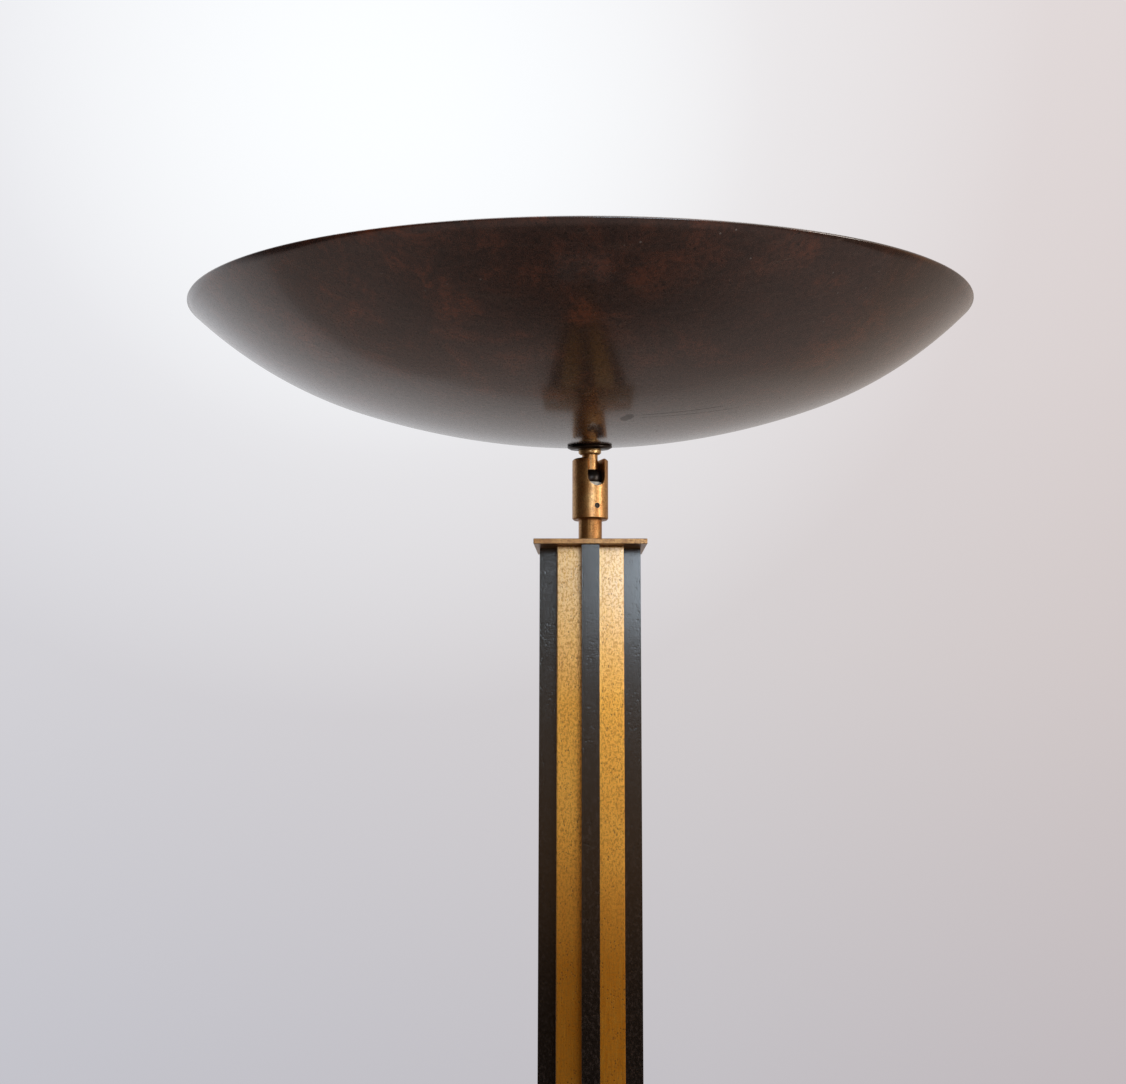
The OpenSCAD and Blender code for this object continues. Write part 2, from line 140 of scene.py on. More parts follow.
class Nodes:
    """A node tree under construction: short calls for the nodes that the looks use."""

    def __init__(self, tree, output, coordinates):
        self.tree = tree
        self.tree.nodes.clear()
        self.output = self.add(output)
        self.where = self.add("ShaderNodeTexCoord").outputs[coordinates]

    def add(self, kind):
        return self.tree.nodes.new(kind)

    def put(self, socket, value):
        """Links a socket to a node's output, or sets its value."""
        if isinstance(value, bpy.types.NodeSocket):
            self.tree.links.new(value, socket)
        else:
            socket.default_value = value

    def stretched(self, scale, turn=(0, 0, 0)):
        """The coordinates, turned and scaled."""
        node = self.add("ShaderNodeMapping")
        self.put(node.inputs["Vector"], self.where)
        node.inputs["Scale"].default_value = scale
        node.inputs["Rotation"].default_value = turn
        return node.outputs[0]

    def noise(self, scale, detail=4.0, roughness=0.55, vector=None, distortion=0.0):
        node = self.add("ShaderNodeTexNoise")
        self.put(node.inputs["Vector"], vector or self.where)
        node.inputs["Scale"].default_value = scale
        node.inputs["Detail"].default_value = detail
        node.inputs["Roughness"].default_value = roughness
        node.inputs["Distortion"].default_value = distortion
        return node.outputs["Fac"]

    def cells(self, scale, vector=None, output="Distance"):
        """Scattered cells: the distance to the nearest one's middle, or its own colour."""
        node = self.add("ShaderNodeTexVoronoi")
        self.put(node.inputs["Vector"], vector or self.where)
        node.inputs["Scale"].default_value = scale
        return node.outputs[output]

    def ramp(self, amount, stops):
        """Colours by amount. stops is a list of (amount, colour or grey)."""
        node = self.add("ShaderNodeValToRGB")
        self.put(node.inputs[0], amount)
        elements = node.color_ramp.elements
        while len(elements) < len(stops):
            elements.new(0.5)
        for element, (position, colour) in zip(elements, stops):
            element.position = position
            grey = isinstance(colour, (int, float))
            element.color = (colour, colour, colour, 1) if grey else (*colour, 1)
        return node.outputs[0]

    def wide_ramp(self, amount, stops):
        """A ramp whose amounts run from -1 to 1, as those of a direction do."""
        return self.ramp(self.spread(amount, -1, 1), [((at + 1) / 2, colour) for at, colour in stops])

    def mix(self, amount, a, b, blend="MIX"):
        """Mixes two colours. A Mix node's colour sockets are its inputs 6 and 7 and its output 2."""
        node = self.add("ShaderNodeMix")
        node.data_type = "RGBA"
        node.blend_type = blend
        self.put(node.inputs[0], amount)
        for socket, value in ((node.inputs[6], a), (node.inputs[7], b)):
            plain = isinstance(value, tuple) and len(value) == 3
            self.put(socket, (*value, 1) if plain else value)
        return node.outputs[2]

    def mix_shaders(self, amount, a, b):
        node = self.add("ShaderNodeMixShader")
        self.put(node.inputs[0], amount)
        self.put(node.inputs[1], a)
        self.put(node.inputs[2], b)
        return node.outputs[0]

    def math(self, operation, a, b=0.0):
        node = self.add("ShaderNodeMath")
        node.operation = operation
        self.put(node.inputs[0], a)
        self.put(node.inputs[1], b)
        return node.outputs[0]

    def add_up(self, a, b):
        return self.math("ADD", a, b)

    def times(self, a, b):
        return self.math("MULTIPLY", a, b)

    def dot(self, a, b):
        node = self.add("ShaderNodeVectorMath")
        node.operation = "DOT_PRODUCT"
        self.put(node.inputs[0], a)
        self.put(node.inputs[1], b)
        return node.outputs["Value"]

    def spread(self, amount, low, high, new_low=0.0, new_high=1.0):
        """Maps low..high to new_low..new_high, held at both ends."""
        node = self.add("ShaderNodeMapRange")
        node.clamp = True
        self.put(node.inputs["Value"], amount)
        node.inputs["From Min"].default_value = low
        node.inputs["From Max"].default_value = high
        node.inputs["To Min"].default_value = new_low
        node.inputs["To Max"].default_value = new_high
        return node.outputs[0]

    def along(self, axis, vector=None):
        """One coordinate: along X, Y or Z."""
        split = self.add("ShaderNodeSeparateXYZ")
        self.put(split.inputs[0], vector or self.where)
        return split.outputs[axis]

    def radius_squared(self, vector=None):
        """Square of the distance from the Z axis."""
        across, deep = self.along("X", vector), self.along("Y", vector)
        return self.add_up(self.times(across, across), self.times(deep, deep))

    def radius(self):
        return self.math("SQRT", self.radius_squared())


class Look(Nodes):
    """A material under construction, on a Principled BSDF."""

    def __init__(self, name):
        self.material = bpy.data.materials.new(name)
        self.material.use_nodes = True
        super().__init__(self.material.node_tree, "ShaderNodeOutputMaterial", "Object")
        self.surface = self.add("ShaderNodeBsdfPrincipled")
        self.put(self.output.inputs["Surface"], self.surface.outputs[0])

    def set(self, **values):
        """Sets the shader's sockets by name, with _ for each space."""
        for name, value in values.items():
            self.put(self.surface.inputs[name.replace("_", " ")], value)

    def measure_from(self, place):
        """From here on, coordinates are those of another frame, such as the dish's own."""
        node = self.add("ShaderNodeMapping")
        node.vector_type = "TEXTURE"
        self.put(node.inputs["Vector"], self.where)
        node.inputs["Location"].default_value = place.to_translation()
        node.inputs["Rotation"].default_value = place.to_euler()
        self.where = node.outputs[0]

    def bump(self, height, depth, strength=1.0, under=None):
        node = self.add("ShaderNodeBump")
        node.inputs["Strength"].default_value = strength
        node.inputs["Distance"].default_value = depth
        self.put(node.inputs["Height"], height)
        if under is not None:
            self.put(node.inputs["Normal"], under)
        return node.outputs[0]

    def worn_edges(self, width):
        """1 along the edges and 0 on the flats, where a rounded normal leaves the true one."""
        bevel = self.add("ShaderNodeBevel")
        bevel.samples = 4
        bevel.inputs["Radius"].default_value = width
        true_normal = self.add("ShaderNodeNewGeometry").outputs["Normal"]
        return self.spread(self.dot(bevel.outputs[0], true_normal), 0.995, 0.85)

    def spot(self, centre, size, turn):
        """1 inside a ragged oval on the XY plane, 0 outside it."""
        place = self.add("ShaderNodeMapping")
        place.vector_type = "TEXTURE"
        self.put(place.inputs["Vector"], self.where)
        place.inputs["Location"].default_value = (*centre, 0)
        place.inputs["Rotation"].default_value = (0, 0, turn)
        place.inputs["Scale"].default_value = (*size, 1)
        ragged = self.spread(self.noise(260, 3), 0.2, 0.8, -0.6, 0.6)
        return self.spread(self.add_up(self.radius_squared(place.outputs[0]), ragged), 1.0, 0.7)


# ---------- materials ----------


def column_brass():
    """Old lacquered brass sheet: a sanded tooth, fine dark pits, tarnish and a thin clear lacquer, with
    painted shade making it amber towards the bottom and a painted highlight paling its top.
    """
    look = Look("column_brass")
    grain = look.noise(1.0, 5, 0.7, look.stretched((1500, 1500, 60)))
    speckle = look.noise(1.0, 4, 0.75, look.stretched((720, 720, 480)))
    stain = look.noise(7, 6, 0.6, distortion=0.6)
    blotch = look.noise(1.0, 5, 0.6, look.stretched((50, 50, 12)))
    pits = look.spread(look.cells(1.0, look.stretched((640, 640, 420))), 0.3, 0.16)
    pits = look.times(pits, look.spread(look.noise(170, 3), 0.42, 0.6, 0, 0.75))
    golds = [(0.3, (0.8, 0.36, 0.045)), (0.5, (0.95, 0.48, 0.07)), (0.75, (1.0, 0.56, 0.1))]
    base = look.ramp(stain, golds)
    base = look.mix(look.spread(blotch, 0.46, 0.72, 0, 0.6), base, (0.58, 0.22, 0.015))
    # painted shade: the brass turns a darker amber towards the bottom
    base = look.mix(look.spread(look.along("Z"), *SHADED_AMBER_TO_GOLD_Z, 0.92, 0.0), base, (0.5, 0.17, 0.001))
    # painted highlight: the brass turns paler near its top
    base = look.mix(look.spread(look.along("Z"), *GOLD_TO_HIGHLIGHT_Z, 0.0, 0.75), base, (0.62, 0.47, 0.29))
    base = look.mix(look.spread(speckle, 0.47, 0.57, 0, 0.7), base, (0.34, 0.14, 0.01))
    base = look.mix(look.spread(grain, 0.4, 0.7, 0, 0.25), base, (0.9, 0.5, 0.06))
    base = look.mix(pits, base, (0.06, 0.035, 0.015))
    look.set(Base_Color=base, Metallic=0.65, Coat_Weight=0.75, Coat_Roughness=0.12, Coat_IOR=1.5)
    rough = look.add_up(look.spread(speckle, 0.3, 0.7, 0.24, 0.38), look.spread(blotch, 0.4, 0.8, 0, 0.06))
    look.set(Roughness=rough)
    height = look.add_up(look.times(grain, 0.2), look.times(speckle, 1.2))
    look.set(Normal=look.bump(look.math("SUBTRACT", height, pits), 0.09 * MM, 0.6))
    return look.material


def turned_brass(name, tone, patina_tone, depth):
    """Turned brass under an old patina: fine rings, a speckled tooth and brighter worn edges."""
    look = Look(name)
    rings = look.noise(1.0, 3, 0.6, look.stretched((60, 60, 5200)))
    patina = look.noise(90, 7, 0.72, distortion=0.4)
    tooth = look.noise(1000, 4, 0.75)
    base = look.mix(look.spread(patina, 0.36, 0.66), tone, patina_tone)
    base = look.mix(look.spread(tooth, 0.47, 0.6, 0, 0.6), base, tuple(0.5 * part for part in patina_tone))
    base = look.mix(look.times(look.worn_edges(0.4 * MM), 0.5), base, (0.86, 0.62, 0.32))
    look.set(Base_Color=base, Metallic=0.9, Coat_Weight=0.3, Coat_Roughness=0.2)
    look.set(Roughness=look.spread(tooth, 0.3, 0.75, 0.32, 0.5))
    height = look.add_up(look.times(rings, 0.25), tooth)
    bite = look.bump(height, depth, 0.7)
    look.set(Normal=bite, Coat_Normal=bite)
    return look.material


def blackened_bar():
    """Blackened, lacquered metal: near black, with a fine tooth, scattered pits and rubbed edges."""
    look = Look("blackened_bar")
    tooth = look.noise(1.0, 5, 0.75, look.stretched((700, 700, 460)))
    drawn = look.noise(1.0, 4, 0.6, look.stretched((1600, 1600, 18)))
    cloud = look.noise(14, 5, 0.6)
    pits = look.spread(look.cells(1.0, look.stretched((560, 560, 380))), 0.32, 0.16)
    pits = look.times(pits, look.spread(look.noise(150, 3), 0.44, 0.6))
    base = look.ramp(cloud, [(0.3, (0.002, 0.0015, 0.0015)), (0.7, (0.005, 0.004, 0.004))])
    base = look.mix(look.spread(tooth, 0.52, 0.62, 0, 0.7), base, (0.03, 0.021, 0.018))
    base = look.mix(look.spread(drawn, 0.6, 0.74, 0, 0.2), base, (0.02, 0.015, 0.012))
    base = look.mix(look.times(look.worn_edges(0.5 * MM), 0.25), base, (0.22, 0.15, 0.08))
    base = look.mix(pits, base, (0.003, 0.003, 0.003))
    look.set(Base_Color=base, IOR=1.5, Coat_Weight=0.6, Coat_Roughness=0.1, Coat_IOR=1.5)
    look.set(Roughness=look.spread(tooth, 0.3, 0.7, 0.16, 0.27))
    height = look.add_up(tooth, look.times(drawn, 0.3))
    bite = look.bump(look.math("SUBTRACT", height, look.times(pits, 1.2)), 0.06 * MM, 0.5)
    look.set(Normal=bite, Coat_Normal=bite)
    return look.material


def dish_lacquer():
    """Dark bronze lacquer on spun metal: red-brown mottle, fine grain, rings, specks, hairlines, scuffs."""
    look = Look("dish_lacquer")
    look.measure_from(DISH_AXIS)
    mottle = look.noise(34, 8, 0.72, distortion=0.5)
    cloud = look.noise(3.4, 4, 0.55)
    grain = look.noise(420, 4, 0.75)
    streak = look.noise(1.0, 4, 0.6, look.stretched((30, 190, 190)))
    rings = look.add("ShaderNodeTexNoise")
    rings.noise_dimensions = "1D"
    look.put(rings.inputs["W"], look.radius())
    rings.inputs["Scale"].default_value = 900
    rings.inputs["Detail"].default_value = 3
    specks = look.spread(look.cells(310), 0.22, 0.1)
    specks = look.times(specks, look.spread(look.noise(60, 2), 0.44, 0.6))
    dust = look.times(look.spread(look.cells(150), 0.09, 0.04), look.spread(look.noise(25, 2), 0.54, 0.6))
    hairs = [
        look.times(look.spread(line, 0.7, 0.74), look.spread(look.noise(patch, 2), 0.5, 0.62))
        for line, patch in (
            (look.noise(1.0, 2, 0.5, look.stretched((14, 420, 420), (0.3, 0.1, 0.5)), 0.4), 9),
            (look.noise(1.0, 2, 0.5, look.stretched((420, 14, 420), (0.1, 0.4, 0.9)), 0.4), 7),
        )
    ]
    scratch = look.math("MAXIMUM", *hairs)
    scuff = 0.0
    for centre, size, turn in SCUFFS:
        scuff = look.math("MAXIMUM", look.spot(centre, size, turn), scuff)
    browns = [(0.34, (0.03, 0.014, 0.011)), (0.5, (0.055, 0.021, 0.014)), (0.66, (0.16, 0.042, 0.018))]
    base = look.ramp(mottle, browns)
    base = look.mix(look.spread(cloud, 0.44, 0.66, 0, 0.6), base, (0.03, 0.018, 0.015))
    base = look.mix(look.spread(streak, 0.5, 0.7, 0, 0.4), base, (0.06, 0.036, 0.028))
    base = look.mix(look.spread(grain, 0.46, 0.6, 0, 0.55), base, (0.012, 0.007, 0.006))
    base = look.mix(look.times(scratch, 0.35), base, (0.11, 0.08, 0.06))
    base = look.mix(look.times(specks, 0.8), base, (0.004, 0.003, 0.003))
    base = look.mix(look.times(scuff, 0.7), base, (0.008, 0.005, 0.004))
    base = look.mix(look.times(dust, 0.45), base, (0.3, 0.27, 0.25))
    look.set(Base_Color=base, IOR=1.6, Coat_Weight=0.8, Coat_Roughness=0.12, Coat_IOR=1.5)
    rough = look.add_up(look.spread(grain, 0.3, 0.7, 0.2, 0.32), look.times(scratch, 0.15))
    look.set(Roughness=look.add_up(rough, look.times(scuff, 0.3)))
    height = look.add_up(look.times(rings.outputs[0], 0.25), look.times(grain, 0.9))
    height = look.math("SUBTRACT", height, look.times(look.math("MAXIMUM", scratch, specks), 0.8))
    look.set(Normal=look.bump(height, 0.035 * MM, 0.55, look.bump(look.noise(26, 3, 0.5), 0.25 * MM, 0.3)))
    return look.material


def dish_inside():
    """White enamel inside the dish, yellowed and dusty towards its bottom."""
    look = Look("dish_inside")
    look.measure_from(DISH_AXIS)
    dust = look.noise(30, 6, 0.65)
    whites = [(0.0, (0.4, 0.34, 0.25)), (0.45, (0.52, 0.48, 0.4)), (1.0, (0.58, 0.56, 0.51))]
    base = look.ramp(look.spread(look.radius(), 0.0, DISH_R), whites)
    base = look.mix(look.spread(dust, 0.45, 0.75, 0, 0.25), base, (0.38, 0.33, 0.25))
    base = look.mix(look.spread(look.cells(120), 0.12, 0.05, 0.0, 0.5), base, (0.12, 0.1, 0.07))
    look.set(Base_Color=base, Coat_Weight=0.2, Coat_Roughness=0.2)
    look.set(Roughness=look.spread(dust, 0.3, 0.7, 0.32, 0.5))
    look.set(Normal=look.bump(look.noise(700, 3, 0.6), 0.03 * MM, 0.4))
    return look.material


def base_lacquer():
    """The base cover's dark bronze lacquer, with scuffs near its edges."""
    look = Look("base_lacquer")
    mottle = look.noise(22, 6, 0.6, distortion=0.5)
    scuff = look.noise(1.0, 3, 0.6, look.stretched((30, 300, 300), (0, 0, 0.6)), 0.3)
    base = look.ramp(mottle, [(0.3, (0.02, 0.015, 0.012)), (0.7, (0.045, 0.032, 0.025))])
    base = look.mix(look.spread(scuff, 0.68, 0.76, 0, 0.35), base, (0.16, 0.12, 0.09))
    base = look.mix(look.times(look.worn_edges(1.2 * MM), 0.5), base, (0.25, 0.18, 0.1))
    look.set(Base_Color=base, IOR=1.6, Coat_Weight=0.4, Coat_Roughness=0.22)
    look.set(Roughness=look.spread(mottle, 0.3, 0.7, 0.3, 0.42))
    look.set(Normal=look.bump(look.noise(800, 3, 0.6), 0.04 * MM, 0.5))
    return look.material


def blackened_steel():
    """Oil-blackened steel: near black, with a brown bloom and shiny edges."""
    look = Look("blackened_steel")
    bloom = look.noise(220, 5, 0.65)
    base = look.ramp(bloom, [(0.35, (0.018, 0.016, 0.016)), (0.7, (0.05, 0.04, 0.034))])
    base = look.mix(look.times(look.worn_edges(0.4 * MM), 0.5), base, (0.24, 0.2, 0.17))
    look.set(Base_Color=base, Metallic=0.85, Roughness=look.spread(bloom, 0.3, 0.7, 0.26, 0.42))
    look.set(Normal=look.bump(look.noise(1500, 3, 0.6), 0.03 * MM, 0.5))
    return look.material


def zinc_steel():
    """Zinc-plated steel with a faint spangle."""
    look = Look("zinc_steel")
    spangle = look.cells(260, output="Color")
    cloud = look.noise(90, 5, 0.6)
    base = look.ramp(cloud, [(0.3, (0.42, 0.42, 0.43)), (0.7, (0.6, 0.6, 0.59))])
    base = look.mix(0.12, base, spangle, "OVERLAY")
    look.set(Base_Color=base, Metallic=1.0, Roughness=look.spread(cloud, 0.3, 0.7, 0.28, 0.42))
    look.set(Normal=look.bump(look.noise(1200, 3, 0.6), 0.03 * MM, 0.5))
    return look.material


def polished_sheet():
    """Polished aluminium with a lengthwise roll mark and a heat haze."""
    look = Look("polished_sheet")
    roll = look.noise(1.0, 3, 0.6, look.stretched((20, 2600, 2600)))
    haze = look.noise(45, 5, 0.6)
    base = look.ramp(haze, [(0.35, (0.8, 0.78, 0.74)), (0.7, (0.9, 0.9, 0.9))])
    look.set(Base_Color=base, Metallic=1.0, Roughness=look.spread(haze, 0.3, 0.7, 0.12, 0.24))
    look.set(Normal=look.bump(roll, 0.02 * MM, 0.4))
    return look.material


def porcelain():
    """Unglazed electrical porcelain, slightly scorched."""
    look = Look("porcelain")
    scorch = look.noise(90, 5, 0.6)
    base = look.ramp(scorch, [(0.3, (0.62, 0.58, 0.5)), (0.6, (0.78, 0.76, 0.7))])
    look.set(Base_Color=base, Roughness=look.spread(scorch, 0.3, 0.7, 0.45, 0.65))
    look.set(Normal=look.bump(look.noise(1400, 4, 0.65), 0.05 * MM, 0.5))
    return look.material


def cast_iron():
    """Raw sand-cast iron."""
    look = Look("cast_iron")
    sand = look.noise(600, 6, 0.7)
    base = look.ramp(sand, [(0.3, (0.06, 0.058, 0.055)), (0.7, (0.14, 0.13, 0.12))])
    look.set(Base_Color=base, Metallic=0.7, Roughness=look.spread(sand, 0.3, 0.7, 0.5, 0.75))
    look.set(Normal=look.bump(sand, 0.3 * MM, 0.7))
    return look.material


def felt():
    """Dark green-grey needle felt."""
    look = Look("felt")
    fibre = look.noise(1.0, 5, 0.75, look.stretched((1400, 500, 900), (0.4, 0.2, 0.7)))
    clump = look.noise(160, 5, 0.6)
    base = look.ramp(clump, [(0.3, (0.02, 0.026, 0.022)), (0.7, (0.05, 0.058, 0.05))])
    base = look.mix(look.spread(fibre, 0.5, 0.7, 0, 0.5), base, (0.1, 0.11, 0.1))
    look.set(Base_Color=base, Roughness=0.95, Sheen_Weight=0.3, Sheen_Roughness=0.5)
    look.set(Normal=look.bump(look.add_up(fibre, clump), 0.4 * MM, 0.7))
    return look.material


def rubber():
    """Matt black rubber with a bloom."""
    look = Look("rubber")
    bloom = look.noise(240, 5, 0.6)
    base = look.ramp(bloom, [(0.3, (0.014, 0.014, 0.014)), (0.7, (0.035, 0.034, 0.033))])
    look.set(Base_Color=base, Roughness=look.spread(bloom, 0.3, 0.7, 0.6, 0.8))
    look.set(Normal=look.bump(look.noise(1500, 4, 0.6), 0.05 * MM, 0.6))
    return look.material


def silicone():
    """Off-white braided silicone sleeve."""
    look = Look("silicone")
    braid = look.cells(1.0, look.stretched((1500, 1500, 1500), (0, 0, 0.78)))
    soil = look.noise(120, 4, 0.6)
    base = look.ramp(soil, [(0.3, (0.55, 0.52, 0.46)), (0.7, (0.72, 0.7, 0.65))])
    look.set(Base_Color=base, Roughness=0.7)
    look.set(Normal=look.bump(braid, 0.12 * MM, 0.7))
    return look.material


def nylon():
    """Natural nylon, slightly greased."""
    look = Look("nylon")
    grease = look.noise(150, 4, 0.6)
    base = look.ramp(grease, [(0.3, (0.6, 0.57, 0.48)), (0.7, (0.74, 0.72, 0.66))])
    look.set(Base_Color=base, Roughness=look.spread(grease, 0.3, 0.7, 0.3, 0.5))
    look.set(Normal=look.bump(look.noise(900, 3, 0.6), 0.03 * MM, 0.4))
    return look.material


def quartz():
    """Clear quartz with faint draw lines."""
    look = Look("quartz")
    draw = look.noise(1.0, 3, 0.5, look.stretched((30, 900, 900)))
    look.set(Base_Color=(1, 1, 1, 1), Roughness=0.03, IOR=1.46, Transmission_Weight=0.95)
    look.set(Normal=look.bump(draw, 0.02 * MM, 0.3))
    return look.material


def hot_wire():
    """The glowing coil."""
    look = Look("hot_wire")
    heat = look.noise(300, 3, 0.5)
    look.set(Base_Color=(0.9, 0.7, 0.45, 1), Metallic=1.0, Roughness=look.spread(heat, 0.3, 0.7, 0.3, 0.5))
    look.set(Emission_Color=look.ramp(heat, [(0.3, (1.0, 0.62, 0.3)), (0.7, (1.0, 0.72, 0.42))]))
    look.set(Emission_Strength=60)
    return look.material


# ---------- mesh helpers ----------


def add_object(name, data, materials, body, node):
    """Adds a piece that rides on a body and stands for a CAD node. Its place is in its mesh."""
    piece = bpy.data.objects.new(name, data)
    bpy.context.scene.collection.objects.link(piece)
    for material in materials:
        data.materials.append(material)
    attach(piece, body)
    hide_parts(node)


def lathe(name, profile, segments, place, slots=None):
    """Turns a closed profile of (radius, height) points about Z. slots says which material each edge has."""
    bm = bmesh.new()
    rows = []
    for radius, height in profile:
        row = []
        for i in range(segments):
            angle = 2 * math.pi * i / segments
            row.append(bm.verts.new((radius * math.cos(angle), radius * math.sin(angle), height)))
        rows.append(row)
    for k, row in enumerate(rows):
        above = rows[(k + 1) % len(rows)]
        for i in range(segments):
            j = (i + 1) % segments
            face = bm.faces.new((row[i], row[j], above[j], above[i]))
            face.smooth = True
            if slots:
                face.material_index = slots[k]
    bmesh.ops.recalc_face_normals(bm, faces=bm.faces)
    mesh = bpy.data.meshes.new(name)
    bm.to_mesh(mesh)
    bm.free()
    mesh.transform(place)
    return mesh


def rounded(corners):
    """Rounds each corner of a closed outline of (x, y, radius) with a short arc."""
    points = []
    count = len(corners)
    for k, (x, y, radius) in enumerate(corners):
        here = Vector((x, y))
        before = (Vector(corners[k - 1][:2]) - here).normalized()
        after = (Vector(corners[(k + 1) % count][:2]) - here).normalized()
        half = before.angle(after) / 2
        reach = radius / math.tan(half)
        centre = here + (before + after).normalized() * radius / math.sin(half)
        start, end = here + before * reach - centre, here + after * reach - centre
        for i in range(CORNER_STEPS + 1):
            arm = start.lerp(end, i / CORNER_STEPS).normalized() * radius
            points.append(tuple(centre + arm))
    return points


def soften(node, width, segments=2):
    """Rounds a CAD node's edges for the render, with its own mesh left as it is."""
    obj = frame["nodes"][node]
    weld = obj.modifiers.new("weld", "WELD")
    weld.merge_threshold = WELD_GAP
    bevel = obj.modifiers.new("edges", "BEVEL")
    bevel.width = width
    bevel.segments = segments
    bevel.limit_method = "ANGLE"
    bevel.angle_limit = math.radians(SHARP_DEGREES)
    bevel.harden_normals = True
    bevel.use_clamp_overlap = True


def paint(material, *nodes):
    """Gives CAD nodes a material."""
    for node in nodes:
        obj = frame["nodes"][node]
        obj.data.materials.clear()
        obj.data.materials.append(material)


# ---------- dish ----------


def dish_curve(inset, radius):
    """Height of the dish's outer face above its bottom at a radius, with the face moved in by inset."""
    join = math.asin(ARC_JOIN_R / BOTTOM_ARC_R)
    bottom_r, side_r = BOTTOM_ARC_R - inset, SIDE_ARC_R - inset
    if radius <= bottom_r * math.sin(join):
        return BOTTOM_ARC_R - math.sqrt(bottom_r**2 - radius**2)
    side_x = ARC_JOIN_R - SIDE_ARC_R * math.sin(join)
    side_z = BOTTOM_ARC_R - (BOTTOM_ARC_R - SIDE_ARC_R) * math.cos(join)
    return side_z - math.sqrt(side_r**2 - (radius - side_x) ** 2)


def dish_face(inset, end):
    """Points on a face of the dish, from the hole out to a radius."""
    points = []
    for i in range(DISH_STEPS + 1):
        radius = DISH_HOLE_R + (end - DISH_HOLE_R) * i / DISH_STEPS
        points.append((radius, dish_curve(inset, radius)))
    return points


def make_dish(outside, inside):
    """The spun shell: outer face, a rolled rim and the enamelled inside, as one closed lathe mesh."""
    outer_end = DISH_R - RIM_INSET
    outer = dish_face(0, outer_end)
    inner = dish_face(DISH_WALL, outer_end - RIM_WIDTH)
    start, end = Vector(outer[-1]), Vector(inner[-1])
    centre = (start + end) / 2
    arm = start - centre
    rim = []
    for i in range(1, RIM_STEPS):
        turn = math.pi * i / RIM_STEPS
        rim.append(tuple(centre + Matrix.Rotation(turn, 2) @ arm))
    profile = outer + rim + inner[::-1]
    slots = [0] * (len(outer) + len(rim)) + [1] * len(inner)
    mesh = lathe("spun_dish", profile, DISH_SEGMENTS, DISH_AXIS, slots)
    add_object("spun_dish", mesh, [outside, inside], "head", "dish")


def make_collar(material):
    """The brass collar under the dish, with a broad turned chamfer below."""
    corners = [
        (COLLAR_HOLE_R, 0, 0.05 * MM),
        (6.2 * MM, 0, 0.3 * MM),
        (COLLAR_R, 1.1 * MM, 0.25 * MM),
        (COLLAR_R, COLLAR_HEIGHT, 0.2 * MM),
        (COLLAR_HOLE_R, COLLAR_HEIGHT, 0.05 * MM),
    ]
    place = NECK_AXIS @ Matrix.Translation((0, 0, COLLAR_Z))
    mesh = lathe("turned_collar", rounded(corners), RING_SEGMENTS, place)
    add_object("turned_collar", mesh, [material], "head", "neck_nut")


def make_washer(material):
    """The thin dark disc between collar and dish, with a turned under-edge."""
    corners = [
        (DISH_HOLE_R, 0, 0.1 * MM),
        (12.2 * MM, 0, 0.6 * MM),
        (DISC_R, 1.1 * MM, 0.35 * MM),
        (DISC_R, DISC_HEIGHT, 0.25 * MM),
        (DISH_HOLE_R, DISC_HEIGHT, 0.1 * MM),
    ]
    place = NECK_AXIS @ Matrix.Translation((0, 0, DISC_Z))
    mesh = lathe("turned_disc", rounded(corners), RING_SEGMENTS, place)
    add_object("turned_disc", mesh, [material], "head", "dish_washer")


def make_filament(material):
    """The lamp's coiled wire, from one end of the quartz tube to the other."""
    low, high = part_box("filament")
    centre = (low + high) / 2
    half = (high.x - low.x) / 2
    curve = bpy.data.curves.new("coiled_filament", "CURVE")
    curve.dimensions = "3D"
    curve.bevel_depth = WIRE_R
    curve.bevel_resolution = 1
    spline = curve.splines.new("POLY")
    count = COIL_TURNS * POINTS_PER_TURN
    spline.points.add(count)
    for i, point in enumerate(spline.points):
        angle = 2 * math.pi * i / POINTS_PER_TURN
        x = -half + 2 * half * i / count
        point.co = (x, COIL_R * math.cos(angle), COIL_R * math.sin(angle), 1)
    curve.transform(Matrix.Translation(centre) @ LEAN)
    add_object("coiled_filament", curve, [material], "head", "filament")


# ---------- stage, camera and light ----------


def make_camera():
    """The camera, turned in the order yaw, pitch, roll."""
    camera = bpy.data.cameras.new("camera")
    camera.lens = LENS
    camera.sensor_width = SENSOR
    camera.shift_x = SHIFT_X
    camera.clip_start = 0.01
    camera.clip_end = 100
    obj = bpy.data.objects.new("camera", camera)
    turns = ((CAMERA_YAW, "Z"), (90 + CAMERA_PITCH, "X"), (CAMERA_ROLL, "Z"))
    place = Matrix.Translation(CAMERA_AT)
    for degrees, axis in turns:
        place = place @ Matrix.Rotation(math.radians(degrees), 4, axis)
    obj.matrix_world = place
    bpy.context.scene.collection.objects.link(obj)
    bpy.context.scene.camera = obj


